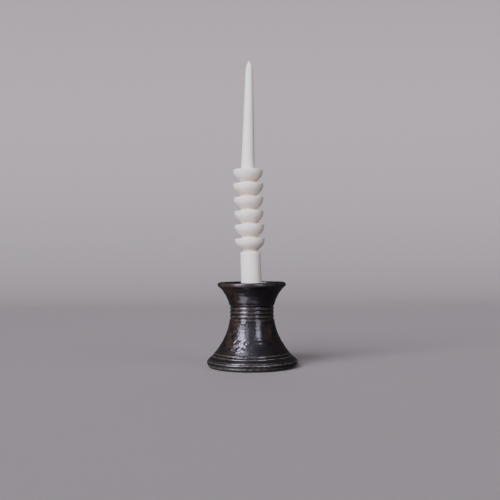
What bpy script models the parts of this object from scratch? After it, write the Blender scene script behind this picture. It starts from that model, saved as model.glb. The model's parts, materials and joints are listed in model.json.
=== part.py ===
"""A sculpted taper candle standing in a thrown stoneware candlestick.

The scene is in metres with +Z up. The origin is the centre of the candlestick's
foot, on the surface that it stands on. Outlines are lists of (radius, height)
in millimetres, and turned() makes a solid of revolution from one.
"""
from math import cos, pi, radians, sin, sqrt, tan

import bmesh
import bpy

MM = 0.001
MERGE_DISTANCE = 1e-6
SHARP_ANGLE = radians(40)

# Candlestick, from the foot up
HOLDER_SEGMENTS = 52
HOLDER_HEIGHT = 88.3
FOOT_INNER_RADIUS = 38.0
FOOT_EDGE_ROUND = 0.8
FOOT_FACE_RADIUS = 43.6
BEAD_CENTRE = (41.7, 5.0)
BEAD_RADIUS = 5.6
BEAD_ARC = (-56, 22)
BEAD_GROOVE = (45.7, 7.5)
SHOULDER_BAND = [(45.9, 8.0), (45.0, 9.1), (43.7, 10.1), (42.4, 11.0)]
RING_PROUD = 0.6
RING_HALF_WIDTH = 0.9
LOWER_RING = (41.3, 12.0)
UPPER_RING = (39.0, 14.8)
FLARE_FOOT = (38.2, 15.8)
FLARE_TOP_HEIGHT = 58.0
FLARE_POWER = 2.1
WAIST_RADIUS = 22.7
WAIST_RIDGE = 0.4
WAIST_RIDGE_PITCH = 4.1
WAIST_RIDGE_HEIGHTS = (52.8, 56.9, 61.0)
CUP_CURVE_HEIGHT = 56.0
CUP_CURVE_RADIUS = 38.5
CUP_WALL = 4.0
LIP_RADIUS = 2.6
LIP_CENTRE_RADIUS = 33.3
DISH_FLOOR_HEIGHT = 73.0
SOCKET_RADIUS = 12.0
SOCKET_FLOOR_HEIGHT = 53.0
SOCKET_EDGE_ROUND = 1.2
HOLLOW_TOP_HEIGHT = 44.0
HOLLOW_WALL = 6.5
HOLLOW_DOME_HEIGHT = 36.0

# Candle, heights counted from its own bottom face
CANDLE_SEGMENTS = 32
BASE_RADIUS = 10.9
BASE_TOP_RADIUS = 10.6
BASE_CHAMFER = 1.0
BASE_LENGTH = 66.4
BASE_SHOULDER = 2.0
BASE_NECK_RADIUS = 7.8
BOWLS = 6
FIRST_RIM_HEIGHT = 80.6
BOWL_PITCH = 14.4
BOWL_DEPTH = 12.4
BOWL_POWER = 2.4
BOWL_STEPS = 6
RIM_RADIUS = 15.6
RIM_BAND = 1.0
RIM_ROUND = 0.5
NECK_RADIUS = 8.3
NECK_FILLET = 0.9
TAPER_FOOT_RADIUS = 7.25
NOSE_START_HEIGHT = 246.4
NOSE_START_RADIUS = 4.24
NOSE_STEPS = 5
WAX_LENGTH = 263.6
WAX_TOP_RADIUS = 2.5

# The poured candle stands a little askew and has bent back by about as much
LEAN = radians(1.6)
LEAN_PIVOT_HEIGHT = 74.0
BEND_ANGLE = radians(2.75)
BEND_CENTRE_HEIGHT = 143.5
BEND_LENGTH = 40.0
BEND_STEPS = 6

# Wick
WICK_SEGMENTS = 12
WICK_RADIUS = 1.3
WICK_LENGTH = 267.5
WICK_RECESS = 0.5
WICK_END_ROUND = 0.4
BORE_RADIUS = 1.7

# Free play between the candle's lowest edge and the socket floor
SEAT_GAP = 0.35


def arc(centre, radius, start, end, steps):
    """Points on a circle from one angle to another, in degrees, both ends included."""
    points = []
    for step in range(steps + 1):
        angle = radians(start + (end - start) * step / steps)
        points.append((centre[0] + radius * cos(angle), centre[1] + radius * sin(angle)))
    return points


def ring_bead(place):
    """A thin raised ring on the flare, standing proud at right angles to its slope."""
    radius, height = place
    return [
        (radius + RING_HALF_WIDTH / 2, height - RING_HALF_WIDTH),
        (radius + RING_PROUD, height),
        (radius - RING_HALF_WIDTH / 2, height + RING_HALF_WIDTH / 2),
    ]


def flare_radius(height):
    """Outer radius between the foot's rings and the waist."""
    reach = (FLARE_TOP_HEIGHT - height) / (FLARE_TOP_HEIGHT - FLARE_FOOT[1])
    return WAIST_RADIUS + (FLARE_FOOT[0] - WAIST_RADIUS) * max(reach, 0.0) ** FLARE_POWER


def cup_radius(height, wall=0.0):
    """Radius of the dish's outer curve, or of the inner curve that a wall leaves."""
    centre = WAIST_RADIUS + CUP_CURVE_RADIUS
    swing = CUP_CURVE_RADIUS + wall
    return centre - sqrt(swing ** 2 - (height - CUP_CURVE_HEIGHT) ** 2)


def between(low, high, steps):
    """Evenly spaced heights, both ends included."""
    return [low + (high - low) * step / steps for step in range(steps + 1)]


def hollow_outline():
    """The hollow under the foot, from the axis down to the foot's inner edge."""
    dome = arc((0.0, HOLLOW_DOME_HEIGHT), 1.0, 90, 0, 4)
    width = flare_radius(HOLLOW_DOME_HEIGHT) - HOLLOW_WALL
    rise = HOLLOW_TOP_HEIGHT - HOLLOW_DOME_HEIGHT
    points = [(x * width, HOLLOW_DOME_HEIGHT + (z - HOLLOW_DOME_HEIGHT) * rise) for x, z in dome]
    points[0] = (0.0, HOLLOW_TOP_HEIGHT)
    for height in between(HOLLOW_DOME_HEIGHT, FLARE_FOOT[1], 5)[1:]:
        points.append((flare_radius(height) - HOLLOW_WALL, height))
    points.append((FOOT_INNER_RADIUS - FOOT_EDGE_ROUND, BEAD_CENTRE[1]))
    return points


def foot_outline():
    """The foot ring with its round bead, a groove, a sloping band and the two thin rings."""
    points = [
        (FOOT_INNER_RADIUS, FOOT_EDGE_ROUND),
        (FOOT_INNER_RADIUS + FOOT_EDGE_ROUND, 0.0),
        (FOOT_FACE_RADIUS, 0.0),
    ]
    points += arc(BEAD_CENTRE, BEAD_RADIUS, *BEAD_ARC, 6)
    points.append(BEAD_GROOVE)
    points += SHOULDER_BAND
    points += ring_bead(LOWER_RING)
    points += ring_bead(UPPER_RING)
    return points


def body_outline():
    """The outer side from the flare over the ridged waist to the edge of the dish."""
    points = []
    low = WAIST_RIDGE_HEIGHTS[0] - WAIST_RIDGE_PITCH / 2
    for height in between(FLARE_FOOT[1], low - 1.0, 9):
        points.append((flare_radius(height), height))
    top = WAIST_RIDGE_HEIGHTS[-1] + WAIST_RIDGE_PITCH / 2
    for height in between(low, top, 4 * len(WAIST_RIDGE_HEIGHTS)):
        swell = cos(2 * pi * (height - WAIST_RIDGE_HEIGHTS[0]) / WAIST_RIDGE_PITCH)
        points.append((WAIST_RADIUS + WAIST_RIDGE * swell, height))
    for height in between(top + 1.5, HOLDER_HEIGHT - 2.4 * LIP_RADIUS, 6):
        points.append((cup_radius(height), height))
    return points


def mouth_outline():
    """The lip, the inside of the dish and the candle socket, ending on the axis."""
    lip_centre = (LIP_CENTRE_RADIUS, HOLDER_HEIGHT - LIP_RADIUS)
    points = arc(lip_centre, LIP_RADIUS, -45, 200, 8)
    dish_low = DISH_FLOOR_HEIGHT + 3.5
    for height in between(HOLDER_HEIGHT - 2 * LIP_RADIUS, dish_low, 4):
        points.append((cup_radius(height, CUP_WALL), height))
    points.append((cup_radius(dish_low, CUP_WALL) - 2.5, DISH_FLOOR_HEIGHT + 1.5))
    socket_edge = (SOCKET_RADIUS + SOCKET_EDGE_ROUND, DISH_FLOOR_HEIGHT - SOCKET_EDGE_ROUND)
    points += arc(socket_edge, SOCKET_EDGE_ROUND, 90, 180, 3)
    points.append((SOCKET_RADIUS, SOCKET_FLOOR_HEIGHT + SOCKET_EDGE_ROUND))
    points.append((SOCKET_RADIUS - SOCKET_EDGE_ROUND, SOCKET_FLOOR_HEIGHT))
    points.append((0.0, SOCKET_FLOOR_HEIGHT))
    return points


def base_outline():
    """The candle's plain round base, from its bottom face to the neck over it."""
    shoulder = (BASE_TOP_RADIUS - BASE_SHOULDER, BASE_LENGTH - BASE_SHOULDER)
    points = [
        (BASE_RADIUS - BASE_CHAMFER, 0.0),
        (BASE_RADIUS, BASE_CHAMFER),
    ]
    points += arc(shoulder, BASE_SHOULDER, 0, 90, 4)
    points.append((BASE_NECK_RADIUS, BASE_LENGTH + 0.4))
    return points


def bowl_outline(rim, neck):
    """One bowl: its rounded underside, the narrow band of its rim and its flat top."""
    points = []
    side = BOWL_DEPTH - RIM_BAND
    for step in range(BOWL_STEPS + 1):
        drop = 1.0 - step / BOWL_STEPS
        radius = neck + (RIM_RADIUS - neck) * (1.0 - drop ** BOWL_POWER)
        points.append((radius, rim - RIM_BAND - side * drop))
    points.append((RIM_RADIUS, rim - RIM_ROUND))
    points.append((RIM_RADIUS - RIM_ROUND, rim))
    return points


def bowls_outline():
    """The stack of bowls, each growing out of the neck over the one below."""
    points = []
    for bowl in range(BOWLS):
        rim = FIRST_RIM_HEIGHT + BOWL_PITCH * bowl
        neck = BASE_NECK_RADIUS if bowl == 0 else NECK_RADIUS
        points += bowl_outline(rim, neck)
        points.append((NECK_RADIUS + NECK_FILLET, rim + NECK_FILLET))
    return points


def taper_radius(height):
    """Radius of the straight taper between the top bowl and the nose."""
    foot = FIRST_RIM_HEIGHT + BOWL_PITCH * (BOWLS - 1)
    share = (height - foot) / (NOSE_START_HEIGHT - foot)
    return TAPER_FOOT_RADIUS + (NOSE_START_RADIUS - TAPER_FOOT_RADIUS) * share


def taper_outline():
    """The long taper and its rounded nose, up to the wick's bore."""
    foot = FIRST_RIM_HEIGHT + BOWL_PITCH * (BOWLS - 1) + 2.5 * NECK_FILLET
    bend_end = BEND_CENTRE_HEIGHT + BEND_LENGTH / 2
    points = [(taper_radius(height), height) for height in between(foot, bend_end, 2)]
    points.append((NOSE_START_RADIUS, NOSE_START_HEIGHT))
    for step in range(1, NOSE_STEPS + 1):
        share = step / NOSE_STEPS
        drop = sqrt(1.0 - share ** 2)
        radius = WAX_TOP_RADIUS + (NOSE_START_RADIUS - WAX_TOP_RADIUS) * drop
        points.append((radius, NOSE_START_HEIGHT + (WAX_LENGTH - NOSE_START_HEIGHT) * share))
    return points


def bend_heights():
    """Heights at which the wick and its bore turn with the bend."""
    start = BEND_CENTRE_HEIGHT - BEND_LENGTH / 2
    return between(start, start + BEND_LENGTH, BEND_STEPS)


def bore_outline():
    """The wick's bore, from the tip down to the bottom face."""
    points = [(BORE_RADIUS, WAX_LENGTH)]
    points += [(BORE_RADIUS, height) for height in reversed(bend_heights())]
    points.append((BORE_RADIUS, 0.0))
    return points


def wick_outline():
    """The wick, from the axis at its lower end to the axis at its tip."""
    points = [(0.0, WICK_RECESS), (WICK_RADIUS, WICK_RECESS)]
    points += [(WICK_RADIUS, height) for height in bend_heights()]
    points.append((WICK_RADIUS, WICK_LENGTH - WICK_END_ROUND))
    points.append((WICK_RADIUS - WICK_END_ROUND, WICK_LENGTH))
    points.append((0.0, WICK_LENGTH))
    return points


def bend_vertex(vertex):
    """Carry a vertex with the candle's centre line, which bends towards +X."""
    height = vertex.z / MM
    start = BEND_CENTRE_HEIGHT - BEND_LENGTH / 2
    turned_part = min(max(height - start, 0.0), BEND_LENGTH)
    beyond = max(height - start - BEND_LENGTH, 0.0)
    tilt = BEND_ANGLE * turned_part / BEND_LENGTH
    offset = BEND_ANGLE * turned_part ** 2 / (2 * BEND_LENGTH) + tan(BEND_ANGLE) * beyond
    radius = vertex.x
    vertex.x = offset * MM + radius * cos(tilt)
    vertex.z -= radius * sin(tilt)


def turned(name, outline, segments, closed=False, bent=False):
    """Turn an outline about the Z axis into a closed mesh object."""
    mesh = bpy.data.meshes.new(name)
    build = bmesh.new()
    profile = [build.verts.new((radius * MM, 0.0, height * MM)) for radius, height in outline]
    pairs = list(zip(profile, profile[1:]))
    if closed:
        pairs.append((profile[-1], profile[0]))
    edges = [build.edges.new(pair) for pair in pairs]
    bmesh.ops.spin(
        build, geom=profile + edges, cent=(0, 0, 0), axis=(0, 0, 1),
        angle=2 * pi, steps=segments, use_merge=True,
    )
    bmesh.ops.remove_doubles(build, verts=build.verts, dist=MERGE_DISTANCE)
    bmesh.ops.recalc_face_normals(build, faces=build.faces)
    if bent:
        for vertex in build.verts:
            bend_vertex(vertex.co)
    build.to_mesh(mesh)
    build.free()
    mesh.shade_smooth()
    mesh.set_sharp_from_angle(angle=SHARP_ANGLE)
    piece = bpy.data.objects.new(name, mesh)
    bpy.context.collection.objects.link(piece)
    return piece


def finish(piece, name, colour, roughness, metallic=0.0):
    """Give a piece its own Principled BSDF material."""
    material = bpy.data.materials.new(name)
    material.use_nodes = True
    shader = material.node_tree.nodes["Principled BSDF"]
    shader.inputs["Base Color"].default_value = (*colour, 1.0)
    shader.inputs["Roughness"].default_value = roughness
    shader.inputs["Metallic"].default_value = metallic
    piece.data.materials.append(material)


def make_holder():
    """The candlestick, one fired piece with its socket and its hollow foot."""
    outline = hollow_outline() + foot_outline() + body_outline() + mouth_outline()
    holder = turned("holder_body", outline, HOLDER_SEGMENTS)
    finish(holder, "dark_glaze", (0.030, 0.021, 0.018), 0.22)


def make_candle():
    """The candle and its wick, standing in the socket on their sliding axis."""
    outline = base_outline() + bowls_outline() + taper_outline() + bore_outline()
    wax = turned("candle_wax", outline, CANDLE_SEGMENTS, closed=True, bent=True)
    finish(wax, "white_wax", (0.80, 0.76, 0.74), 0.45)
    lowest_edge = (BASE_RADIUS - BASE_CHAMFER) * sin(LEAN)
    bottom = SOCKET_FLOOR_HEIGHT + SEAT_GAP + lowest_edge
    sideways = (LEAN_PIVOT_HEIGHT - bottom) * tan(LEAN)
    wax.location = (sideways * MM, 0.0, bottom * MM)
    wax.rotation_euler = (0.0, -LEAN, 0.0)

    wick = turned("wick", wick_outline(), WICK_SEGMENTS, bent=True)
    finish(wick, "waxed_cotton", (0.78, 0.74, 0.68), 0.85)
    wick.parent = wax


def clear_scene():
    """Remove whatever the file opened with."""
    for thing in list(bpy.data.objects):
        bpy.data.objects.remove(thing, do_unlink=True)


clear_scene()
make_holder()
make_candle()
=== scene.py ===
"""The looks of a sculpted taper candle standing in a thrown stoneware candlestick.

Outlines are lists of (radius, height) in millimetres, as in the part's own design.
The candle's are counted from its bottom face and stood on the frame's sliding axis.
Azimuths are in degrees from the front, which is -Y, and + to the right.
"""
import json
from math import atan2, cos, pi, radians, sin, sqrt, tan

import bpy
import numpy as np
from mathutils import Euler, Matrix, Vector, kdtree, noise


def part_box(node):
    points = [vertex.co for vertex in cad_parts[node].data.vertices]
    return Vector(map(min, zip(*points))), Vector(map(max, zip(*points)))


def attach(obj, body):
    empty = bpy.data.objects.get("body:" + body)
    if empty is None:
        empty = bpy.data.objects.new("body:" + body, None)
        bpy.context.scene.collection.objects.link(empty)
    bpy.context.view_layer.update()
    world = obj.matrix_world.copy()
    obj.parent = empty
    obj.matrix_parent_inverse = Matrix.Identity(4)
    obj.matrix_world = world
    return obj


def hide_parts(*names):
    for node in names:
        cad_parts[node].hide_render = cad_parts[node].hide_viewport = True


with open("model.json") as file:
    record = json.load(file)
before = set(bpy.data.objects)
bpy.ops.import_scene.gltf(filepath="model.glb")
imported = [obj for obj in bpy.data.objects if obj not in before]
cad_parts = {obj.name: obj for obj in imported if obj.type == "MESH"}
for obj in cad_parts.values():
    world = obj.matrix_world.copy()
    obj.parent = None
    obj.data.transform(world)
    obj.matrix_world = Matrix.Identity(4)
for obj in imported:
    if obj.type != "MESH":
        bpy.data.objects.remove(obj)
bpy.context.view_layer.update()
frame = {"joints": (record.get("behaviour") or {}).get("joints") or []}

MM = 0.001
FINE = 0.1

# Candlestick, from the foot up, as in the part's design
HOLDER_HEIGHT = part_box("holder_body")[1].z / MM
FOOT_INNER_RADIUS = 38.0
FOOT_EDGE_ROUND = 0.8
FOOT_FACE_RADIUS = 43.6
BEAD_CENTRE = (41.7, 5.0)
BEAD_RADIUS = 5.6
BEAD_ARC = (-56, 22)
BEAD_GROOVE = (45.7, 7.5)
SHOULDER_BAND = [(45.9, 8.0), (45.0, 9.1), (43.7, 10.1), (42.4, 11.0)]
RING_PROUD = 0.75
RING_HALF_WIDTH = 0.9
LOWER_RING = (41.3, 12.0)
UPPER_RING = (39.0, 14.8)
FLARE_FOOT = (38.2, 15.8)
FLARE_TOP_HEIGHT = 58.0
FLARE_POWER = 2.1
WAIST_RADIUS = 22.7
WAIST_RIDGE = 0.5
WAIST_RIDGE_PITCH = 4.1
WAIST_RIDGE_HEIGHTS = (52.8, 56.9, 61.0)
CUP_CURVE_HEIGHT = 56.0
CUP_CURVE_RADIUS = 38.5
CUP_WALL = 4.0
LIP_RADIUS = 2.6
LIP_CENTRE_RADIUS = 33.3
DISH_FLOOR_HEIGHT = 73.0
SOCKET_RADIUS = 12.0
SOCKET_FLOOR_HEIGHT = 53.0
SOCKET_EDGE_ROUND = 1.2
HOLLOW_TOP_HEIGHT = 44.0
HOLLOW_WALL = 6.5
HOLLOW_DOME_HEIGHT = 36.0

HOLDER_SEGMENTS = 300
HOLDER_BLUR = 0.40
ROW_SPACING = 0.55
HIDDEN_ROW_SPACING = 1.8

# Glaze relief. Lumps: size, rise and noise seed. The pebbles show only on the pebbly spot.
LUMPS = [(9.0, 0.14, 1), (4.2, 0.08, 2)]
PEBBLES = [(2.7, 0.20, 3), (1.5, 0.13, 4)]
THROWING_PITCH = 3.4
THROWING_RISE = 0.02
DRAG_SIZE = 2.4
DRAG_RISE = 0.06
DRAG_STRETCH = (0.35, 0.35, 1.0)
FLAT_HEIGHT = 2.0

# Blisters and craters in the glaze: azimuth, height, radius and rise
BLISTERS = [
    (-24, 27.6, 2.2, 0.42),
    (-38, 21.5, 1.6, 0.22),
    (-17, 21.0, 1.5, 0.18),
    (96, 24.0, 2.0, 0.25),
]
CRATERS = [
    (-11, 27.5, 3.0, 0.16),
    (-22, 49.0, 3.0, 0.24),
    (-52, 30.5, 2.0, 0.12),
    (118, 33.0, 2.6, 0.14),
]

# Pits in the glaze: kind of scatter, count, azimuths, heights, sizes and depths. An even
# scatter has a lowest and a highest value, a normal one its middle and its spread.
PIT_GROUPS = [
    ("uniform", 170, (0, 360), (6, 84), (0.6, 1.2), (0.03, 0.10)),
    ("normal", 45, (-32, 15), (23, 6), (1.0, 2.0), (0.08, 0.22)),
    ("normal", 40, (-60, 14), (4, 2), (0.7, 1.3), (0.10, 0.22)),
]
PIT_SEED = 7

# Soft spots on the candlestick: azimuth and its reach, height and its reach
PEBBLY_SPOT = (-33, 19, 22, 8.5)
SMOOTH_SPOT = (-23, 6, 26, 2.6)

# Rust breaks: soft spots at the front with their strengths, and patches past an azimuth
RUST_SPOTS = [((-48, 22, 46, 26), 1.0), ((50, 16, 44, 14), 0.7), ((-60, 40, 84, 8), 0.8)]
BACK_RUST_AZIMUTH = 75
BACK_RUST_SIZE = 26.0
BACK_RUST_GAIN = 2.2
BACK_RUST_STRENGTH = 0.7

# Where the glaze is thin, on sharp edges, and a painted reflection of the lit table in a band low
# on the bead, strongest on the left where the light falls
TURN_WINDOW = 11
THIN_TURN = 0.2
THIN_GAIN = 2.4
THIN_HEIGHTS = [0, 17, 22, 86]
THIN_STRENGTHS = [0.9, 0.9, 0.45, 0.42]
TABLE_GLOW_HEIGHT = 2.7
TABLE_GLOW_REACH = 1.4
TABLE_GLOW_AZIMUTHS = [-60, 0, 50]
TABLE_GLOW_STRENGTHS = [0.9, 0.6, 0.2]

# Candle
BASE_RADIUS = 10.9
BASE_TOP_RADIUS = 10.6
BASE_CHAMFER = 1.0
BASE_LENGTH = 66.4
BASE_SHOULDER = 2.0
BASE_NECK_RADIUS = 7.8
FIRST_RIM_HEIGHT = 80.6
BOWL_PITCH = 14.4
BOWL_DEPTH = 12.4
BOWL_POWER = 2.4
RIM_RADIUS = 15.6
RIM_TRIMS = (0.0, 0.0, -0.4, 0.0, 0.4, 0.0)
TOP_RIM_HEIGHT = FIRST_RIM_HEIGHT + BOWL_PITCH * (len(RIM_TRIMS) - 1)
RIM_BAND = 1.0
RIM_ROUND = 0.5
NECK_RADIUS = 8.3
NECK_FILLET = 0.9
TAPER_FOOT_RADIUS = 7.25
TAPER_FLARE = 0.45
NOSE_START_HEIGHT = 246.4
NOSE_START_RADIUS = 4.24
WAX_LENGTH = 263.6
WAX_TOP_RADIUS = 2.5
BEND_ANGLE = radians(2.75)
BEND_CENTRE_HEIGHT = 143.5
BEND_LENGTH = 40.0
WICK_RADIUS = 1.3
WICK_LENGTH = 267.5
WICK_RECESS = 0.5
BORE_RADIUS = 1.36
STUB_RADIUS = 1.75
STUB_TIP = 0.7
WAX_SEGMENTS = 128
WAX_BLUR = 0.28
WAX_LUMPS = [(22.0, 0.14, 8), (6.0, 0.035, 9)]
# Painted shade in the creases between the bowls begins this far below each rim
CREASE_SHADE_START = 3.0
WICK_SEGMENTS = 48
BRAID_STRANDS = 6
BRAID_PITCH = 1.7
BRAID_DEPTH = 0.28
BRAID_RISE = 0.26

# The candle's own axis in the frame
AXIS = Vector(frame["joints"][0]["axis"]).normalized()
LEAN = atan2(-AXIS.x, AXIS.z)
LEAN_PIVOT_HEIGHT = 74.0

# Colours
DARK_GLAZE = (0.006, 0.0058, 0.0065)
BROWN_GLAZE = (0.012, 0.0095, 0.0095)
RUST_GLAZE = (0.044, 0.020, 0.015)
OLIVE_GLAZE = (0.040, 0.034, 0.019)
# The colour of thin glaze on edges, also used for the painted reflection of the lit table on the
# bead's low band
THIN_GLAZE_AND_TABLE_GLOW = (0.115, 0.103, 0.088)
SPECKLE = (0.040, 0.033, 0.028)
DARK_CLAY = (0.20, 0.145, 0.105)
PALE_CLAY = (0.30, 0.235, 0.18)
WHITE_WAX = (0.86, 0.826, 0.828)
CREAM_WAX = (0.84, 0.797, 0.788)
# Painted shade: the darker, warmer wax colour in the creases between the bowls
SHADED_CREASE_WAX = (0.74, 0.60, 0.53)
DARK_COTTON = (0.70, 0.66, 0.60)
PALE_COTTON = (0.86, 0.84, 0.80)
# Painted shade: the darker cotton colour in the grooves between the braid's strands
BRAID_GROOVE_SHADE = (0.62, 0.57, 0.50)

# Studio, in metres
STUDIO_PAINT = (0.325, 0.292, 0.313)
SURROUND = (0.50, 0.46, 0.49)
ROOM = (0.042, 0.044, 0.056)
KEY_LIGHT = (0.95, 0.96, 1.0)
FILL_LIGHT = (1.0, 0.91, 0.88)
BOUNCE_LIGHT = (1.0, 0.88, 0.80)
PANE_COLOUR = (0.80, 0.765, 1.0)
PANE_DISTANCE = 1.5
DAY_DISTANCE = 3.0
STUDIO_HALF_WIDTH = 6.0
WALL_PLACE = 2.2
SWEEP = 1.2

# Daylight: name, azimuth, elevation, strength, spread in degrees, colour
DAYS = [
    ("day_left", -35, 26, 5.6, 50, KEY_LIGHT),
    ("day_right", 50, 20, 0.85, 40, FILL_LIGHT),
    ("day_below", -15, -32, 0.7, 60, BOUNCE_LIGHT),
    ("day_behind", 175, 30, 0.5, 60, FILL_LIGHT),
]

# What the glaze mirrors: name, azimuth, elevation, width and height in degrees, radiance
PANES = [
    ("pane_left_low", -51, 18, 24, 11, 8.0),
    ("pane_left_high", -50, 36, 22, 18, 18.0),
    ("pane_left_side", -66, 34, 12, 30, 3.0),
    ("pane_left_top", -48, 60, 22, 16, 2.5),
    ("pane_left_sky", -46, 50, 9, 7, 44.0),
    ("pane_left_glow", -28, 38, 70, 50, 0.45),
    ("pane_middle", -25, 30, 6, 34, 4.0),
    ("pane_right_low", 31, 18, 18, 11, 6.0),
    ("pane_right_high", 31, 35, 18, 17, 9.0),
    ("ceiling", -30, 78, 50, 40, 0.5),
    ("table_glow", -20, -45, 85, 16, 1.0),
    ("table_spot", -48, -42, 30, 26, 3.0),
]

# Camera, in metres and radians
CAMERA_PLACE = (0.0, -0.76125, 0.110)
CAMERA_PITCH = radians(0.893)
CAMERA_YAW = radians(0.119)
CAMERA_ROLL = -0.0067
CAMERA_LENS = 52.2


def arc(centre, radius, start, end, steps):
    """Points on a circle from one angle to another, in degrees, both ends included."""
    points = []
    for step in range(steps + 1):
        angle = radians(start + (end - start) * step / steps)
        points.append((centre[0] + radius * cos(angle), centre[1] + radius * sin(angle)))
    return points


def between(low, high, steps):
    """Evenly spaced values, both ends included."""
    return [low + (high - low) * step / steps for step in range(steps + 1)]


def evenly(outline, spacing):
    """The same outline as an array of evenly spaced points."""
    points = np.array(outline, float)
    along = np.concatenate([[0.0], np.cumsum(np.hypot(*np.diff(points, axis=0).T))])
    at = np.linspace(0.0, along[-1], int(round(along[-1] / spacing)) + 1)
    return np.stack([np.interp(at, along, points[:, k]) for k in (0, 1)], axis=1)


def soften(points, blur, closed=False):
    """Round an outline's corners by averaging along it, over about blur millimetres."""
    reach = int(4 * blur / FINE)
    offsets = np.arange(-reach, reach + 1) * FINE
    weights = np.exp(-0.5 * (offsets / blur) ** 2)
    weights /= weights.sum()
    if closed:
        padded = np.concatenate([points[-reach:], points, points[:reach]])
    else:
        before = points[1:reach + 1][::-1] * (-1, 1)
        after = points[-reach - 1:-1][::-1] * (-1, 1)
        padded = np.concatenate([before, points, after])
    return np.stack([np.convolve(padded[:, k], weights, "valid") for k in (0, 1)], axis=1)


def thinned(points, spacing_at):
    """Every so many of an outline's points, at the spacing wanted at each place."""
    density = np.array([FINE / spacing_at(point[0], point[1]) for point in points])
    share = np.concatenate([[0.0], np.cumsum(density[1:])])
    rows = int(round(share[-1]))
    places = np.interp(np.linspace(0.0, share[-1], rows + 1), share, np.arange(len(points)))
    return points[np.round(places).astype(int)]


def curvature_of(points):
    """How sharply an outline turns at each point, in radians per millimetre, + over ridges."""
    step = np.gradient(points, axis=0)
    length = np.maximum(np.hypot(step[:, 0], step[:, 1]), 1e-9)
    heading = np.unwrap(np.arctan2(step[:, 1], step[:, 0]))
    return np.gradient(heading) / length


# ---------------------------------------------------------------- candlestick


def flare_radius(height):
    """Outer radius between the foot's rings and the waist."""
    reach = (FLARE_TOP_HEIGHT - height) / (FLARE_TOP_HEIGHT - FLARE_FOOT[1])
    return WAIST_RADIUS + (FLARE_FOOT[0] - WAIST_RADIUS) * max(reach, 0.0) ** FLARE_POWER


def cup_radius(height, wall=0.0):
    """Radius of the dish's outer curve, or of the inner curve that a wall leaves."""
    centre = WAIST_RADIUS + CUP_CURVE_RADIUS
    swing = CUP_CURVE_RADIUS + wall
    return centre - sqrt(swing ** 2 - (height - CUP_CURVE_HEIGHT) ** 2)


def ring_bead(place):
    """A thin raised ring on the flare, standing proud at right angles to its slope."""
    radius, height = place
    return [
        (radius + RING_HALF_WIDTH / 2, height - RING_HALF_WIDTH),
        (radius + RING_PROUD, height),
        (radius - RING_HALF_WIDTH / 2, height + RING_HALF_WIDTH / 2),
    ]


def hollow_outline():
    """The hollow under the foot, from the axis down to the foot's inner edge."""
    width = flare_radius(HOLLOW_DOME_HEIGHT) - HOLLOW_WALL
    rise = HOLLOW_TOP_HEIGHT - HOLLOW_DOME_HEIGHT
    dome = arc((0.0, 0.0), 1.0, 90, 0, 12)
    points = [(x * width, HOLLOW_DOME_HEIGHT + z * rise) for x, z in dome]
    points[0] = (0.0, HOLLOW_TOP_HEIGHT)
    for height in between(HOLLOW_DOME_HEIGHT, FLARE_FOOT[1], 12)[1:]:
        points.append((flare_radius(height) - HOLLOW_WALL, height))
    points.append((FOOT_INNER_RADIUS - FOOT_EDGE_ROUND, BEAD_CENTRE[1]))
    return points


def foot_outline():
    """The foot ring with its round bead, a groove, a sloping band and the two thin rings."""
    points = [
        (FOOT_INNER_RADIUS, FOOT_EDGE_ROUND),
        (FOOT_INNER_RADIUS + FOOT_EDGE_ROUND, 0.0),
        (FOOT_FACE_RADIUS, 0.0),
    ]
    points += arc(BEAD_CENTRE, BEAD_RADIUS, *BEAD_ARC, 16)
    points.append(BEAD_GROOVE)
    points += SHOULDER_BAND
    points += ring_bead(LOWER_RING)
    points += ring_bead(UPPER_RING)
    return points


def body_outline():
    """The outer side from the flare over the ridged waist to the edge of the dish."""
    points = []
    low = WAIST_RIDGE_HEIGHTS[0] - WAIST_RIDGE_PITCH / 2
    for height in between(FLARE_FOOT[1], low - 1.0, 40):
        points.append((flare_radius(height), height))
    top = WAIST_RIDGE_HEIGHTS[-1] + WAIST_RIDGE_PITCH / 2
    for height in between(low, top, 20 * len(WAIST_RIDGE_HEIGHTS)):
        swell = cos(2 * pi * (height - WAIST_RIDGE_HEIGHTS[0]) / WAIST_RIDGE_PITCH)
        points.append((WAIST_RADIUS + WAIST_RIDGE * swell, height))
    for height in between(top + 1.5, HOLDER_HEIGHT - 2.4 * LIP_RADIUS, 30):
        points.append((cup_radius(height), height))
    return points


def mouth_outline():
    """The lip, the inside of the dish and the candle socket, ending on the axis."""
    lip_centre = (LIP_CENTRE_RADIUS, HOLDER_HEIGHT - LIP_RADIUS)
    points = arc(lip_centre, LIP_RADIUS, -45, 200, 24)
    dish_low = DISH_FLOOR_HEIGHT + 3.5
    for height in between(HOLDER_HEIGHT - 2 * LIP_RADIUS, dish_low, 12):
        points.append((cup_radius(height, CUP_WALL), height))
    points.append((cup_radius(dish_low, CUP_WALL) - 2.5, DISH_FLOOR_HEIGHT + 1.5))
    socket_edge = (SOCKET_RADIUS + SOCKET_EDGE_ROUND, DISH_FLOOR_HEIGHT - SOCKET_EDGE_ROUND)
    points += arc(socket_edge, SOCKET_EDGE_ROUND, 90, 180, 6)
    points.append((SOCKET_RADIUS, SOCKET_FLOOR_HEIGHT + SOCKET_EDGE_ROUND))
    points.append((SOCKET_RADIUS - SOCKET_EDGE_ROUND, SOCKET_FLOOR_HEIGHT))
    points.append((0.0, SOCKET_FLOOR_HEIGHT))
    return points


def holder_spacing(radius, height):
    """Rows lie close on the surfaces that are seen, and wide in the hollow and the socket."""
    in_socket = radius < SOCKET_RADIUS + 0.5
    hollow_radius = flare_radius(max(height, FLARE_FOOT[1])) - HOLLOW_WALL / 2
    in_hollow = radius < hollow_radius and height < HOLLOW_TOP_HEIGHT + 1
    return HIDDEN_ROW_SPACING if in_socket or in_hollow else ROW_SPACING


# ---------------------------------------------------------------- candle


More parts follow.
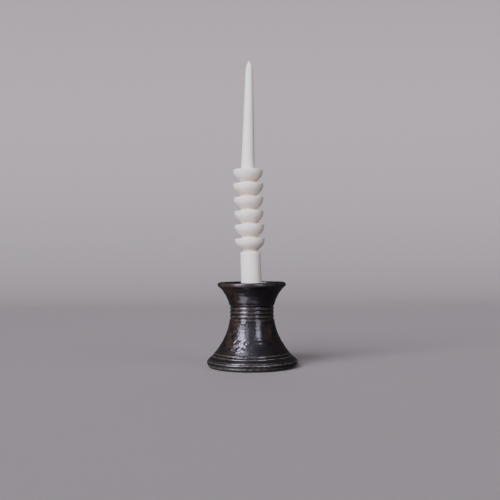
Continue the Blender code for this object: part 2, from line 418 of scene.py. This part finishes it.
def base_outline():
    """The candle's plain round base, from its bottom face to the neck over it."""
    shoulder = (BASE_TOP_RADIUS - BASE_SHOULDER, BASE_LENGTH - BASE_SHOULDER)
    points = [(BASE_RADIUS - BASE_CHAMFER, 0.0), (BASE_RADIUS, BASE_CHAMFER)]
    points += arc(shoulder, BASE_SHOULDER, 0, 90, 12)
    points.append((BASE_NECK_RADIUS, BASE_LENGTH + 0.4))
    return points


def bowl_outline(rim, neck, rim_radius):
    """One bowl: its rounded underside, the narrow band of its rim and its flat top."""
    points = []
    side = BOWL_DEPTH - RIM_BAND
    for share in between(0.0, 1.0, 16):
        radius = neck + (rim_radius - neck) * (1.0 - (1.0 - share) ** BOWL_POWER)
        points.append((radius, rim - RIM_BAND - side * (1.0 - share)))
    points.append((rim_radius, rim - RIM_ROUND))
    points.append((rim_radius - RIM_ROUND, rim))
    return points


def bowls_outline():
    """The stack of bowls, each growing out of the neck over the one below."""
    points = []
    for bowl, trim in enumerate(RIM_TRIMS):
        rim = FIRST_RIM_HEIGHT + BOWL_PITCH * bowl
        neck = BASE_NECK_RADIUS if bowl == 0 else NECK_RADIUS
        points += bowl_outline(rim, neck, RIM_RADIUS + trim)
        points.append((NECK_RADIUS + NECK_FILLET, rim))
    return points


def taper_radius(height):
    """Radius of the straight taper between the top bowl and the nose."""
    share = (height - TOP_RIM_HEIGHT) / (NOSE_START_HEIGHT - TOP_RIM_HEIGHT)
    return TAPER_FOOT_RADIUS + (NOSE_START_RADIUS - TAPER_FOOT_RADIUS) * share


def taper_outline():
    """The long taper and its rounded nose, up to the wick's bore."""
    foot = TOP_RIM_HEIGHT + NECK_FILLET
    points = []
    for height in between(foot, NOSE_START_HEIGHT, 60):
        points.append((taper_radius(height) + TAPER_FLARE * 0.5 ** ((height - foot) / 2), height))
    for share in between(0.0, 1.0, 24)[1:]:
        drop = sqrt(1.0 - share ** 2)
        radius = WAX_TOP_RADIUS + (NOSE_START_RADIUS - WAX_TOP_RADIUS) * drop
        points.append((radius, NOSE_START_HEIGHT + (WAX_LENGTH - NOSE_START_HEIGHT) * share))
    points.append((STUB_RADIUS + 0.2, WAX_LENGTH + 0.5))
    points.append((STUB_RADIUS, WAX_LENGTH + 1.5))
    points.append((STUB_RADIUS - 0.1, WICK_LENGTH - STUB_TIP))
    return points


def wax_spacing(radius, height):
    """Rows lie close on the bowls and the nose, and wide on the plain lengths and in the bore."""
    if radius < BORE_RADIUS + 0.2:
        return 3.0
    if BASE_LENGTH - 4 < height < TOP_RIM_HEIGHT + 3 or height > NOSE_START_HEIGHT:
        return 0.5
    return 1.2


def bend(points):
    """Carry points in metres with the candle's centre line, which bends towards +X."""
    height = points[:, 2] / MM
    start = BEND_CENTRE_HEIGHT - BEND_LENGTH / 2
    turned = np.clip(height - start, 0.0, BEND_LENGTH)
    beyond = np.maximum(height - start - BEND_LENGTH, 0.0)
    tilt = BEND_ANGLE * turned / BEND_LENGTH
    offset = BEND_ANGLE * turned ** 2 / (2 * BEND_LENGTH) + tan(BEND_ANGLE) * beyond
    bent = points.copy()
    bent[:, 0] = offset * MM + points[:, 0] * np.cos(tilt)
    bent[:, 2] = points[:, 2] - points[:, 0] * np.sin(tilt)
    return bent


# ---------------------------------------------------------------- meshes


def ring_faces(rows, segments, first, closed):
    """Quads between neighbouring rings of vertices, as an array of four columns."""
    row = np.arange(rows if closed else rows - 1)[:, None]
    around = np.arange(segments)[None, :]
    here = first + row * segments
    above = first + (row + 1) % rows * segments
    beside = (around + 1) % segments
    corners = [here + around, here + beside, above + beside, above + around]
    return np.stack([corner.ravel() for corner in corners], axis=1)


def revolve(name, radii, heights, closed=False):
    """A closed mesh object from rings: radii has a row of segments for each height.

    An open outline starts and ends on the axis, so its first and last rings shrink
    to one vertex each. Lengths are in millimetres.
    """
    segments = radii.shape[1]
    angles = np.arange(segments) * 2 * pi / segments
    around = np.stack([np.cos(angles), np.sin(angles)], axis=1)
    body = slice(None) if closed else slice(1, -1)
    ring = radii[body, :, None] * around[None]
    level = np.broadcast_to(heights[body], radii[body].shape)[..., None]
    points = np.concatenate([ring, level], axis=2).reshape(-1, 3) * MM
    rows = len(points) // segments
    faces = ring_faces(rows, segments, 0, closed).tolist()
    if not closed:
        first = len(points)
        ends = [(0.0, 0.0, heights[0].mean() * MM), (0.0, 0.0, heights[-1].mean() * MM)]
        points = np.concatenate([points, ends])
        last_row = (rows - 1) * segments
        for step in range(segments):
            beside = (step + 1) % segments
            faces.append((first, beside, step))
            faces.append((first + 1, last_row + step, last_row + beside))
    mesh = bpy.data.meshes.new(name)
    mesh.from_pydata(points.tolist(), [], faces)
    mesh.shade_smooth()
    piece = bpy.data.objects.new(name, mesh)
    bpy.context.collection.objects.link(piece)
    return piece


def coordinates(mesh):
    """A mesh's vertices as an array."""
    points = np.empty(len(mesh.vertices) * 3)
    mesh.vertices.foreach_get("co", points)
    return points.reshape(-1, 3)


def place(mesh, points):
    """Move a mesh's vertices to an array of points."""
    mesh.vertices.foreach_set("co", points.astype(np.float32).ravel())
    mesh.update()


def vertex_normals(mesh):
    normals = np.empty(len(mesh.vertices) * 3)
    mesh.vertex_normals.foreach_get("vector", normals)
    return normals.reshape(-1, 3)


def paint(mesh, name, values):
    """Store one number per vertex for the material to read."""
    mesh.attributes.new(name, "FLOAT", "POINT").data.foreach_set("value", values.astype(np.float32))


def smooth_noise(points, scale, seed):
    """Gradient noise from -1 to 1 at each point, with features of about scale millimetres."""
    shift = Vector((seed * 17.3, seed * 5.1, seed * 9.7))
    return np.array([noise.noise(Vector(point) / (scale * MM) + shift) for point in points])


# ---------------------------------------------------------------- nodes


class Shader:
    """A material's Principled BSDF and short ways to add the nodes that feed it."""

    def __init__(self, name, **values):
        self.material = bpy.data.materials.new(name)
        self.material.use_nodes = True
        self.tree = self.material.node_tree
        self.principled = self.tree.nodes["Principled BSDF"]
        for key, value in values.items():
            self.principled.inputs[key.replace("_", " ")].default_value = value
        self.place = self.tree.nodes.new("ShaderNodeTexCoord").outputs["Object"]

    def link(self, source, target):
        self.tree.links.new(source, target)

    def noise(self, scale, detail=4.0, rough=0.55, stretch=None):
        """Noise from about 0 to 1, scale features per metre."""
        node = self.tree.nodes.new("ShaderNodeTexNoise")
        node.inputs["Scale"].default_value = scale
        node.inputs["Detail"].default_value = detail
        node.inputs["Roughness"].default_value = rough
        place = self.place
        if stretch:
            mapping = self.tree.nodes.new("ShaderNodeMapping")
            mapping.inputs["Scale"].default_value = stretch
            self.link(place, mapping.inputs["Vector"])
            place = mapping.outputs["Vector"]
        self.link(place, node.inputs["Vector"])
        return node.outputs["Fac"]

    def cells(self, scale):
        """Distance to the middle of the nearest of scattered cells, scale cells per metre."""
        node = self.tree.nodes.new("ShaderNodeTexVoronoi")
        node.inputs["Scale"].default_value = scale
        self.link(self.place, node.inputs["Vector"])
        return node.outputs["Distance"]

    def painted(self, name):
        """The number that paint() stored on the mesh."""
        node = self.tree.nodes.new("ShaderNodeAttribute")
        node.attribute_name = name
        return node.outputs["Fac"]

    def spread(self, value, low, high, to_low=0.0, to_high=1.0):
        """Map low..high to to_low..to_high, smoothly and without going past either."""
        node = self.tree.nodes.new("ShaderNodeMapRange")
        node.interpolation_type = "SMOOTHSTEP"
        limits = {"From Min": low, "From Max": high, "To Min": to_low, "To Max": to_high}
        for key, number in limits.items():
            node.inputs[key].default_value = number
        self.link(value, node.inputs["Value"])
        return node.outputs["Result"]

    def math(self, operation, first, second):
        node = self.tree.nodes.new("ShaderNodeMath")
        node.operation = operation
        for socket, value in zip(node.inputs, (first, second)):
            if isinstance(value, (int, float)):
                socket.default_value = value
            else:
                self.link(value, socket)
        return node.outputs["Value"]

    def mix(self, factor, first, second):
        """A colour between first and second."""
        node = self.tree.nodes.new("ShaderNodeMix")
        node.data_type = "RGBA"
        self.link(factor, node.inputs["Factor"])
        for key, value in (("A", first), ("B", second)):
            socket = next(s for s in node.inputs if s.name == key and s.type == "RGBA")
            if isinstance(value, tuple):
                socket.default_value = (*value, 1.0)
            else:
                self.link(value, socket)
        return next(s for s in node.outputs if s.type == "RGBA")

    def bump(self, height, distance, normal=None):
        """A normal tilted as if the height, from 0 to 1, stood out by the distance in metres."""
        node = self.tree.nodes.new("ShaderNodeBump")
        node.inputs["Distance"].default_value = distance
        self.link(height, node.inputs["Height"])
        if normal:
            self.link(normal, node.inputs["Normal"])
        return node.outputs["Normal"]

    def feed(self, key, source):
        self.link(source, self.principled.inputs[key])


def glaze_material():
    """Brown-black glaze, pitted and mottled, with bare clay under the foot."""
    shader = Shader(
        "dark_glaze", IOR=1.5, Specular_IOR_Level=0.15,
        Coat_Weight=1.0, Coat_IOR=1.5, Coat_Roughness=0.11,
    )
    mottle = shader.noise(120.0, 5.0, 0.6)
    speckle = shader.noise(900.0, 3.0, 0.6)
    rusty = shader.painted("rust")
    rust = shader.math("MULTIPLY", rusty, shader.spread(mottle, 0.38, 0.62))
    olive = shader.math("MULTIPLY", rusty, shader.spread(shader.noise(240.0, 3.0), 0.52, 0.66))
    broken = shader.spread(shader.noise(300.0, 4.0), 0.3, 0.6)
    # Thin glaze on the edges, and the painted reflection of the lit table on the bead's low band
    thin = shader.math("MULTIPLY", shader.painted("thin"), broken)
    colour = shader.mix(shader.spread(mottle, 0.3, 0.7), DARK_GLAZE, BROWN_GLAZE)
    colour = shader.mix(rust, colour, RUST_GLAZE)
    colour = shader.mix(olive, colour, OLIVE_GLAZE)
    colour = shader.mix(thin, colour, THIN_GLAZE_AND_TABLE_GLOW)
    colour = shader.mix(shader.spread(speckle, 0.66, 0.74), colour, SPECKLE)
    clay = shader.mix(shader.noise(500.0, 6.0, 0.7), DARK_CLAY, PALE_CLAY)
    colour = shader.mix(shader.painted("bare"), colour, clay)
    shader.feed("Base Color", colour)
    rough = shader.spread(shader.noise(160.0, 5.0, 0.6), 0.35, 0.65, 0.34, 0.46)
    rough = shader.math("MAXIMUM", rough, shader.math("MULTIPLY", shader.painted("bare"), 0.85))
    shader.feed("Roughness", rough)
    fine = shader.bump(shader.noise(1400.0, 4.0, 0.6), 0.00005)
    pits = shader.spread(shader.cells(900.0), 0.0, 0.28)
    normal = shader.bump(pits, 0.00006, normal=fine)
    shader.feed("Normal", normal)
    shader.feed("Coat Normal", normal)
    return shader.material


def wax_material():
    """Cast white wax with a satin sheen, a little translucent, with painted shade that makes it
    darker and warmer in its creases.
    """
    shader = Shader(
        "white_wax", IOR=1.44, Subsurface_Weight=0.5,
        Subsurface_Radius=(1.0, 0.62, 0.42), Subsurface_Scale=0.0014,
    )
    cloud = shader.noise(60.0, 4.0)
    colour = shader.mix(shader.spread(cloud, 0.3, 0.7), WHITE_WAX, CREAM_WAX)
    # Painted shade, darker and warmer towards the bottom of each crease between the bowls
    colour = shader.mix(shader.painted("crease_shade"), colour, SHADED_CREASE_WAX)
    shader.feed("Base Color", colour)
    shader.feed("Roughness", shader.spread(shader.noise(200.0, 5.0), 0.3, 0.7, 0.34, 0.50))
    ripples = shader.bump(shader.noise(90.0, 2.0), 0.00025)
    shader.feed("Normal", shader.bump(shader.noise(900.0, 5.0, 0.65), 0.00003, normal=ripples))
    return shader.material


def wick_material():
    """Cotton braid soaked in wax, with painted shade in the grooves between its strands."""
    shader = Shader(
        "waxed_cotton", Subsurface_Weight=0.3, Subsurface_Radius=(1.0, 0.7, 0.5),
        Subsurface_Scale=0.001,
    )
    fibre = shader.noise(5000.0, 4.0, 0.6, stretch=(1.0, 1.0, 0.3))
    colour = shader.mix(shader.spread(fibre, 0.3, 0.7), DARK_COTTON, PALE_COTTON)
    # Painted shade in the grooves between the strands
    groove = shader.painted("groove")
    shader.feed("Base Color", shader.mix(groove, colour, BRAID_GROOVE_SHADE))
    shader.feed("Roughness", shader.spread(fibre, 0.3, 0.7, 0.55, 0.8))
    shader.feed("Normal", shader.bump(fibre, 0.00008))
    return shader.material


# ---------------------------------------------------------------- pieces


def scatter_pits(rng):
    """Azimuth, height, size and depth of each pit that firing left in the glaze."""
    pits = []
    for scatter, count, azimuths, heights, sizes, depths in PIT_GROUPS:
        draw = getattr(rng, scatter)
        for _ in range(count):
            place = (draw(*azimuths), draw(*heights))
            pits.append((*place, rng.uniform(*sizes), rng.uniform(*depths)))
    return pits


def on_surface(outer, azimuth, height):
    """The point of the outer outline at an azimuth and a height, in metres."""
    angle = radians(azimuth - 90)
    radius = np.interp(height, outer[:, 1], outer[:, 0])
    return Vector((radius * cos(angle), radius * sin(angle), height)) * MM


def pit_shape(reach):
    """A pit with a faint rim. The reach is the distance from its middle, in its radii."""
    return (reach * reach - 1) * np.exp(-reach * reach)


def crater_shape(reach):
    """A thin raised ring around a shallow hollow."""
    return np.exp(-((reach - 1) / 0.2) ** 2) - 0.6 * np.exp(-(reach / 0.6) ** 2)


def blister_shape(reach):
    """A round swelling."""
    return np.exp(-reach ** 2)


def glaze_faults(points, outside):
    """How far the glaze's pits, craters and blisters stand out or in, in millimetres."""
    tree = kdtree.KDTree(len(points))
    for number, point in enumerate(points):
        tree.insert(point, number)
    tree.balance()
    outer = np.array(foot_outline()[3:] + body_outline())
    pits = scatter_pits(np.random.default_rng(PIT_SEED))
    shift = np.zeros(len(points))
    kinds = ((pits, pit_shape, 2.0), (CRATERS, crater_shape, 1.6), (BLISTERS, blister_shape, 2.5))
    for faults, shape, widest in kinds:
        for azimuth, height, size, rise in faults:
            near = tree.find_range(on_surface(outer, azimuth, height), widest * size * MM)
            for _, index, distance in near:
                shift[index] += rise * shape(distance / (size * MM))
    return shift * outside


def soft_spot(azimuth, height, spot):
    """1 in the middle of a soft spot, falling to 0 around it."""
    middle, reach, level, rise = spot
    return np.exp(-((azimuth - middle) / reach) ** 2 - ((height - level) / rise) ** 2)


def lumps(points, sizes):
    """Several sizes of smooth lumps added up, in millimetres."""
    return sum(smooth_noise(points, size, seed) * rise for size, rise, seed in sizes)


def glaze_relief(points, azimuth, height, outside):
    """How far the glazed surface stands out from its outline, in millimetres."""
    pebbly = soft_spot(azimuth, height, PEBBLY_SPOT) * (1 - soft_spot(azimuth, height, SMOOTH_SPOT))
    throwing = np.sin(height * 2 * pi / THROWING_PITCH + azimuth * pi / 180) * THROWING_RISE
    drag = smooth_noise(points * DRAG_STRETCH, DRAG_SIZE, 6) * DRAG_RISE
    relief = lumps(points, LUMPS) + pebbly * lumps(points, PEBBLES)
    relief += throwing + drag + glaze_faults(points, outside)
    away_from_table = np.clip(height / FLAT_HEIGHT, 0.0, 1.0)
    return relief * away_from_table


def thin_glaze_and_table_glow(turn, azimuth, height):
    """Where the glaze has run thin, over the rings and edges, and a painted reflection of the lit
    table in the band on the bead.
    """
    strength = np.interp(height, THIN_HEIGHTS, THIN_STRENGTHS)
    # Painted reflection of the lit table, strongest on the left where the light falls
    band = np.exp(-((height - TABLE_GLOW_HEIGHT) / TABLE_GLOW_REACH) ** 2)
    band *= np.interp(azimuth, TABLE_GLOW_AZIMUTHS, TABLE_GLOW_STRENGTHS)
    edges = np.clip((turn - THIN_TURN) * THIN_GAIN, 0.0, 1.0)
    return np.clip(edges * strength + band, 0.0, 1.0)


def rusty_glaze(points, azimuth, height):
    """Where the glaze has broken brown: three places at the front, and patches at the back."""
    front = sum(strength * soft_spot(azimuth, height, spot) for spot, strength in RUST_SPOTS)
    patches = np.clip(smooth_noise(points, BACK_RUST_SIZE, 5) * BACK_RUST_GAIN, 0.0, 1.0)
    back = patches * (np.abs(azimuth) > BACK_RUST_AZIMUTH)
    return np.clip(front + BACK_RUST_STRENGTH * back, 0.0, 1.0)


def make_holder():
    """The candlestick's visible surface, with its glaze faults in the mesh."""
    outline = hollow_outline() + foot_outline() + body_outline() + mouth_outline()
    smooth = soften(evenly(outline, FINE), HOLDER_BLUR)
    smooth[0, 0] = smooth[-1, 0] = 0.0
    padded = np.pad(curvature_of(smooth), TURN_WINDOW // 2, "edge")
    turn = np.convolve(padded, np.ones(TURN_WINDOW) / TURN_WINDOW, "valid")
    rows = thinned(np.column_stack([smooth, turn]), holder_spacing)
    radii = np.repeat(rows[:, :1], HOLDER_SEGMENTS, axis=1)
    heights = np.repeat(rows[:, 1:2], HOLDER_SEGMENTS, axis=1)
    holder = revolve("candlestick", radii, heights)
    mesh = holder.data
    points = coordinates(mesh)
    normals = vertex_normals(mesh)
    turn_at = np.concatenate([np.repeat(rows[1:-1, 2], HOLDER_SEGMENTS), [0.0, 0.0]])
    azimuth = np.degrees(np.arctan2(points[:, 0], -points[:, 1]))
    height = points[:, 2] / MM
    radius = np.hypot(points[:, 0], points[:, 1]) / MM
    outside = normals[:, 0] * points[:, 0] + normals[:, 1] * points[:, 1] > 0

    relief = glaze_relief(points, azimuth, height, outside)
    place(mesh, points + normals * (relief * MM)[:, None])

    # Thin glaze on the edges, with the painted reflection of the lit table on the bead's low band
    paint(mesh, "thin", thin_glaze_and_table_glow(turn_at, azimuth, height) * outside)
    paint(mesh, "rust", rusty_glaze(points, azimuth, height))
    underside = (radius < FOOT_INNER_RADIUS + 5) & (height < 0.6)
    hollow = ~outside & (height < HOLLOW_TOP_HEIGHT + 2) & (radius < FOOT_INNER_RADIUS - 1)
    paint(mesh, "bare", (underside | hollow).astype(float))
    mesh.materials.append(glaze_material())
    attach(holder, "candlestick")
    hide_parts("holder_body")
    return holder


def stand_on_axis(piece):
    """Place a piece made upright from height 0 on the candle's leaning axis in the frame."""
    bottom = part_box("candle_wax")[0].z / MM + (BASE_RADIUS - BASE_CHAMFER) * sin(LEAN)
    sideways = (LEAN_PIVOT_HEIGHT - bottom) * tan(LEAN)
    piece.location = (sideways * MM, 0.0, bottom * MM)
    piece.rotation_euler = (0.0, -LEAN, 0.0)


def painted_crease_shade(points):
    """Painted shade: 1 in the creases where a bowl meets the one below it, falling to 0 at its rim.
    """
    radius = np.hypot(points[:, 0], points[:, 1]) / MM
    height = points[:, 2] / MM
    below_rim = (FIRST_RIM_HEIGHT - height) % BOWL_PITCH
    among_bowls = (height > BASE_LENGTH - 1.0) & (height < TOP_RIM_HEIGHT)
    depth = np.clip((below_rim - CREASE_SHADE_START) / (BOWL_DEPTH - CREASE_SHADE_START), 0.0, 1.0) ** 1.5
    return depth * among_bowls * (radius > BORE_RADIUS + 1.0)


def make_wax():
    """The candle's visible surface."""
    outer = base_outline() + bowls_outline() + taper_outline()
    loop = outer + [(BORE_RADIUS, WICK_LENGTH - STUB_TIP), (BORE_RADIUS, 0.0), outer[0]]
    smooth = soften(evenly(loop, FINE)[:-1], WAX_BLUR, closed=True)
    rows = thinned(smooth, wax_spacing)
    radii = np.repeat(rows[:, :1], WAX_SEGMENTS, axis=1)
    heights = np.repeat(rows[:, 1:2], WAX_SEGMENTS, axis=1)
    wax = revolve("taper_candle", radii, heights, closed=True)
    mesh = wax.data
    points = coordinates(mesh)
    outside = np.hypot(points[:, 0], points[:, 1]) > (BORE_RADIUS + 0.3) * MM
    swell = lumps(points, WAX_LUMPS) * outside
    points = points + vertex_normals(mesh) * (swell * MM)[:, None]
    # Painted shade in the creases between the bowls
    paint(mesh, "crease_shade", painted_crease_shade(points))
    place(mesh, bend(points))
    mesh.materials.append(wax_material())
    stand_on_axis(wax)
    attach(wax, "candle")
    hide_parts("candle_wax")
    return wax


def braid(heights):
    """How far the strands of a square braid stand out, from 0 to 1, for each height and angle."""
    around = BRAID_STRANDS * np.arange(WICK_SEGMENTS)[None] / WICK_SEGMENTS
    climb = heights[:, None] / BRAID_PITCH
    right_handed = around + climb
    left_handed = around - climb
    over = (np.floor(right_handed) + np.floor(left_handed)) % 2 == 0
    across = np.where(over, right_handed, left_handed) % 1.0
    along = np.where(over, left_handed, right_handed) % 1.0
    round_strand = np.sqrt(np.clip(1 - (2 * across - 1) ** 2, 0, 1))
    return round_strand * (0.6 + 0.4 * np.sin(pi * along))


def make_wick():
    """The braided wick, with its short waxed stub."""
    in_wax = between(WICK_RECESS + 0.5, WAX_LENGTH - 7.0, 110)
    stub = between(WAX_LENGTH - 6.0, WICK_LENGTH - 0.5, 60)
    bottom = [WICK_RECESS, WICK_RECESS]
    tip = [WICK_LENGTH - 0.2, WICK_LENGTH - 0.05, WICK_LENGTH]
    heights = np.array(bottom + in_wax + stub + tip)
    rounding = np.array([0.0, 0.9] + [1.0] * len(in_wax + stub) + [0.85, 0.5, 0.0])
    bulge = braid(heights)
    radii = (WICK_RADIUS - BRAID_DEPTH + BRAID_RISE * bulge) * rounding[:, None]
    levels = np.repeat(heights[:, None], WICK_SEGMENTS, axis=1)
    wick = revolve("wick_braid", radii, levels)
    mesh = wick.data
    place(mesh, bend(coordinates(mesh)))
    # Painted shade in the braid's grooves, where the strands sink
    paint(mesh, "groove", np.concatenate([(1 - bulge)[1:-1].ravel(), [0.0, 0.0]]))
    mesh.materials.append(wick_material())
    stand_on_axis(wick)
    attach(wick, "candle")
    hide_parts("wick")
    return wick


# ---------------------------------------------------------------- studio


def stage_material():
    """Matt pale grey paint."""
    material = bpy.data.materials.new("studio_paint")
    material.use_nodes = True
    shader = material.node_tree.nodes["Principled BSDF"]
    shader.inputs["Base Color"].default_value = (*STUDIO_PAINT, 1.0)
    shader.inputs["Roughness"].default_value = 0.9
    shader.inputs["Specular IOR Level"].default_value = 0.1
    return material


def make_stage():
    """A wide floor that sweeps up into a wall, too dull to show in the glaze."""
    profile = [(-STUDIO_HALF_WIDTH, 0.0)]
    profile += arc((WALL_PLACE - SWEEP, SWEEP), SWEEP, -90, 0, 24)
    profile.append((WALL_PLACE, STUDIO_HALF_WIDTH))
    mesh = bpy.data.meshes.new("studio_floor")
    points = [(x, y, z) for y, z in profile for x in (-STUDIO_HALF_WIDTH, STUDIO_HALF_WIDTH)]
    faces = [(2 * k, 2 * k + 1, 2 * k + 3, 2 * k + 2) for k in range(len(profile) - 1)]
    mesh.from_pydata(points, [], faces)
    mesh.shade_smooth()
    mesh.materials.append(stage_material())
    stage = bpy.data.objects.new("studio_floor", mesh)
    bpy.context.collection.objects.link(stage)
    stage.visible_glossy = False
    stage.visible_diffuse = False
    stage.visible_shadow = False


def outward_of(azimuth, elevation):
    """Unit vector from the candlestick. Azimuth 0 is the camera's side, + to its right."""
    a, e = radians(azimuth), radians(elevation)
    return Vector((sin(a) * cos(e), -cos(a) * cos(e), sin(e)))


def add_light(name, lamp, azimuth, elevation, distance):
    """Link a lamp that faces the candlestick from a direction."""
    light = bpy.data.objects.new(name, lamp)
    bpy.context.collection.objects.link(light)
    outward = outward_of(azimuth, elevation)
    light.location = outward * distance
    light.rotation_euler = outward.to_track_quat("Z", "Y").to_euler()
    light.visible_camera = False
    return light


def make_day(name, azimuth, elevation, strength, spread, colour):
    """Soft daylight that lights the studio evenly and isn't mirrored in the glaze."""
    lamp = bpy.data.lights.new(name, "SUN")
    lamp.energy = strength
    lamp.angle = radians(spread)
    lamp.color = colour
    light = add_light(name, lamp, azimuth, elevation, DAY_DISTANCE)
    light.visible_glossy = False


def make_pane(name, azimuth, elevation, width, height, radiance):
    """A bright pane, of a size in degrees, that shows only in the glaze and the wax."""
    lamp = bpy.data.lights.new(name, "AREA")
    lamp.shape = "RECTANGLE"
    lamp.size = 2 * PANE_DISTANCE * tan(radians(width / 2))
    lamp.size_y = 2 * PANE_DISTANCE * tan(radians(height / 2))
    lamp.energy = radiance * pi * lamp.size * lamp.size_y
    lamp.color = PANE_COLOUR
    light = add_light(name, lamp, azimuth, elevation, PANE_DISTANCE)
    light.visible_diffuse = False


def make_world():
    """Pale to the camera, and a dim room in the glaze."""
    world = bpy.data.worlds.new("studio")
    world.use_nodes = True
    tree = world.node_tree
    room = tree.nodes["Background"]
    room.inputs["Color"].default_value = (*ROOM, 1.0)
    seen = tree.nodes.new("ShaderNodeBackground")
    seen.inputs["Color"].default_value = (*SURROUND, 1.0)
    path = tree.nodes.new("ShaderNodeLightPath")
    mix = tree.nodes.new("ShaderNodeMixShader")
    tree.links.new(path.outputs["Is Camera Ray"], mix.inputs[0])
    tree.links.new(room.outputs[0], mix.inputs[1])
    tree.links.new(seen.outputs[0], mix.inputs[2])
    tree.links.new(mix.outputs[0], tree.nodes["World Output"].inputs["Surface"])
    bpy.context.scene.world = world


def make_camera():
    """Level with the foot of the candle, a little turned and rolled, as in the photograph."""
    data = bpy.data.cameras.new("camera")
    data.sensor_width = 36.0
    data.lens = CAMERA_LENS
    camera = bpy.data.objects.new("camera", data)
    bpy.context.collection.objects.link(camera)
    aim = Euler((pi / 2 + CAMERA_PITCH, 0.0, CAMERA_YAW)).to_matrix()
    turn = aim @ Matrix.Rotation(CAMERA_ROLL, 3, "Z")
    camera.matrix_world = Matrix.Translation(CAMERA_PLACE) @ turn.to_4x4()
    bpy.context.scene.camera = camera


make_camera()
make_stage()
make_world()
for day in DAYS:
    make_day(*day)
for pane in PANES:
    make_pane(*pane)
make_holder()
make_wax()
make_wick()
